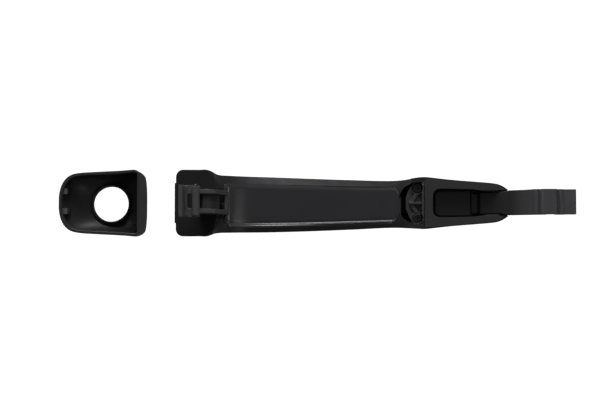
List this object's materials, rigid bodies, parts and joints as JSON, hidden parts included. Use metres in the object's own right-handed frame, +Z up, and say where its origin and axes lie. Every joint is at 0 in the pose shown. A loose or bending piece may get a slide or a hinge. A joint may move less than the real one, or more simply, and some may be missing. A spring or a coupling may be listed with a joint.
{
  "type": "car door handle",
  "caption": "Black pull-type outside door handle for a car, seen whole with its hinge arm, latch pull hook and separate lock cap.",
  "frame": {"origin": "on the hinge claw's axis, at the handle's mid height", "axes": "+X forward along the door towards the hinge end, +Y out of the door away from the car, +Z up"},
  "size_m": [0.2669, 0.0594, 0.035],
  "materials": {
    "shell_black": "moulded black shell, satin gloss",
    "liner_gloss": "polished black",
    "beam_black": "glass-filled nylon, as moulded",
    "foam_grey": "closed-cell foam",
    "foot_black": "fine texture",
    "gasket_rubber": "soft rubber",
    "hook_grey": "glass-filled nylon, fine grain",
    "pin_steel": "blackened steel pin",
    "bumper_rubber": "soft rubber",
    "screw_steel": "black zinc",
    "arm_black": "glass-filled nylon, fine grain",
    "cap_black": "moulded black shell, satin gloss",
    "clip_steel": "spring steel"
  },
  "bodies": {
    "lock_cap": {"cap_shell": "cap_black", "cap_clips": "clip_steel"},
    "handle": {"outer_shell": "shell_black", "inner_grip_liner": "liner_gloss", "core_beam": "beam_black", "foam_pads": "foam_grey", "rear_foot": "foot_black", "rear_gasket": "gasket_rubber", "rear_pull_hook": "hook_grey", "hook_pin": "pin_steel", "hook_bumper": "bumper_rubber", "end_bumper": "gasket_rubber", "rear_screws": "screw_steel", "front_foot": "foot_black", "front_gasket": "gasket_rubber", "front_screws": "screw_steel", "hinge_arm": "arm_black"}
  },
  "joints": [
    {"name": "handle_pull", "type": "hinge", "parent": "lock_cap", "child": "handle", "pos_m": [0, 0, 0], "axis": [0, 0, -1], "range_deg": [0, 7], "stiffness_Nm_per_rad": 15, "springref_deg": -2.86}
  ]
}
